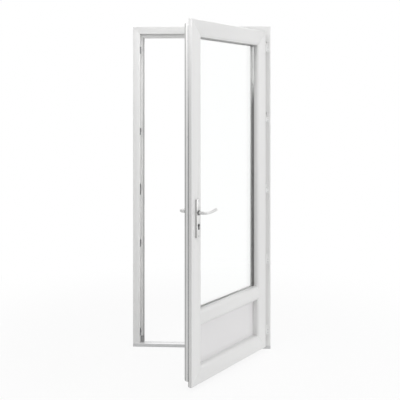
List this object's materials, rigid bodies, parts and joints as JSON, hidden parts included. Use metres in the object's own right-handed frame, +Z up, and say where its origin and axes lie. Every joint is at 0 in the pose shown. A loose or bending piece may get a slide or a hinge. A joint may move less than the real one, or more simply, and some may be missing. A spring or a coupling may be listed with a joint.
{
  "type": "glazed entrance door with frame",
  "caption": "White plastic single-leaf door in its frame: glazed over a plain lower panel, lever handles both sides, key lock with rollers, side hinges and a low metal threshold.",
  "frame": {"origin": "middle of the threshold's underside, at mid depth of the frame", "axes": "+X towards the hinge jamb, +Y out of the room, +Z up; the sash opens into the room, towards -Y"},
  "size_m": [0.9, 0.8021, 2.1],
  "materials": {
    "white_plastic": "smooth satin white",
    "hinge_white": "white powder coat",
    "panel": "smooth satin white",
    "glass": "clear",
    "seal": "matt black",
    "packer": "matt",
    "threshold_metal": "anodised",
    "spacer_metal": "mill",
    "handle_metal": "silver anodised",
    "cylinder_metal": "dark nickel plate",
    "plated_steel": "zinc plate"
  },
  "bodies": {
    "frame": {"frame_head": "white_plastic", "frame_lock_jamb": "white_plastic", "frame_hinge_jamb": "white_plastic", "frame_steels": "plated_steel", "frame_seal": "seal", "threshold": "threshold_metal", "threshold_end_pads": "seal", "fixing_caps": "white_plastic", "strikes": "plated_steel", "lock_keep": "plated_steel", "strike_screws": "plated_steel", "hinge_frame_leaf_1": "hinge_white", "hinge_frame_leaf_2": "hinge_white", "hinge_frame_leaf_3": "hinge_white", "hinge_frame_leaf_4": "hinge_white", "hinge_frame_leaf_5": "hinge_white", "hinge_pins": "plated_steel", "hinge_screws": "plated_steel"},
    "sash": {"sash_top_rail": "white_plastic", "sash_bottom_rail": "white_plastic", "sash_lock_stile": "white_plastic", "sash_hinge_stile": "white_plastic", "sash_mid_rail": "white_plastic", "sash_steels": "plated_steel", "sash_seal": "seal", "bottom_seal": "seal", "inner_pane": "glass", "outer_pane": "glass", "glazing_spacer": "spacer_metal", "glazing_seals": "seal", "setting_blocks": "packer", "lower_panel": "panel", "glass_bead_top": "white_plastic", "glass_bead_bottom": "white_plastic", "glass_bead_lock_side": "white_plastic", "glass_bead_hinge_side": "white_plastic", "panel_bead_top": "glass", "panel_bead_bottom": "glass", "panel_bead_lock_side": "glass", "panel_bead_hinge_side": "glass", "hinge_sash_leaf_1": "hinge_white", "hinge_sash_leaf_2": "hinge_white", "hinge_sash_leaf_3": "hinge_white", "hinge_sash_leaf_4": "hinge_white", "hinge_sash_leaf_5": "hinge_white", "lock_faceplate": "plated_steel", "lock_case": "plated_steel", "cylinder_body": "cylinder_metal", "inside_backplate": "handle_metal", "outside_backplate": "handle_metal", "neck_rings": "packer", "handle_screws": "plated_steel"},
    "handle": {"inside_lever": "handle_metal", "outside_lever": "handle_metal", "spindle": "plated_steel", "follower": "plated_steel"},
    "latch": {"latch_bolt": "plated_steel"},
    "deadbolt": {"dead_bolt": "plated_steel"},
    "rods": {"locking_rods": "plated_steel"},
    "plug": {"cylinder_plug": "cylinder_metal"}
  },
  "joints": [
    {"name": "sash_swing", "type": "hinge", "parent": "frame", "child": "sash", "pos_m": [0.4205, -0.052, 1.05], "axis": [0, 0, 1], "range_deg": [-57.5, 57.5]},
    {"name": "handle_turn", "type": "hinge", "parent": "sash", "child": "handle", "pos_m": [-0.02087, -0.69269, 0.984], "axis": [-0.8434, 0.5373, 0], "range_deg": [0, 40], "stiffness_Nm_per_rad": 1.5, "springref_deg": -17.19},
    {"name": "latch_slide", "type": "slide", "parent": "sash", "child": "latch", "axis": [0.5373, 0.8434, 0], "range_m": [0, 0.014]},
    {"name": "plug_turn", "type": "hinge", "parent": "sash", "child": "plug", "pos_m": [-0.02087, -0.69269, 0.914], "axis": [-0.8434, 0.5373, 0], "range_deg": [0, 360]},
    {"name": "deadbolt_slide", "type": "slide", "parent": "sash", "child": "deadbolt", "axis": [-0.5373, -0.8434, 0], "range_m": [0, 0.0205]},
    {"name": "rods_slide", "type": "slide", "parent": "sash", "child": "rods", "axis": [0, 0, 1], "range_m": [0, 0.018]}
  ],
  "couplings": [
    {"joint": "latch_slide", "follows": "handle_turn", "m_per_rad": 0.02},
    {"joint": "deadbolt_slide", "follows": "rods_slide", "ratio": 1.1111},
    {"joint": "plug_turn", "follows": "rods_slide", "rad_per_m": 349}
  ]
}
